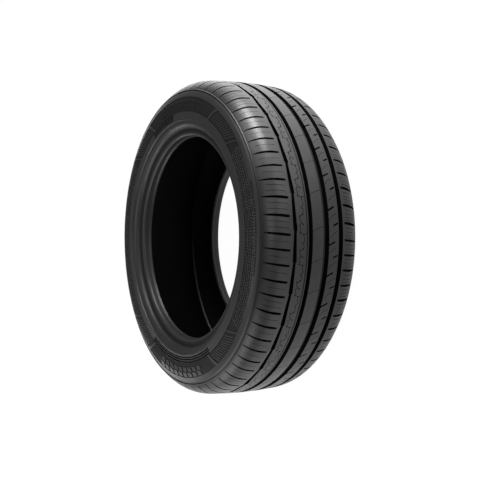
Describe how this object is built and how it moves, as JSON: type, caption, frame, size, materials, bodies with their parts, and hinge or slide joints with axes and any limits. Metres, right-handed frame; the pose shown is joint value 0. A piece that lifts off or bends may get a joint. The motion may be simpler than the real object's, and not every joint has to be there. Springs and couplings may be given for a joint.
{
  "type": "passenger car tyre",
  "caption": "Tubeless radial car tyre with circumferential tread grooves, shoulder slots, rounded sidewalls and two rim beads.",
  "frame": {"origin": "centre of the tyre: on the wheel axis, midway between the two sidewalls", "axes": "+Z along the wheel axis, out of the outer sidewall (the one the picture shows); the tyre lies on its inner sidewall; +X and +Y across the tread's circle"},
  "size_m": [0.6319, 0.632, 0.2192],
  "materials": {
    "tread_rubber": "matt black moulded rubber"
  },
  "bodies": {
    "root": {"tyre": "tread_rubber"}
  },
  "joints": []
}
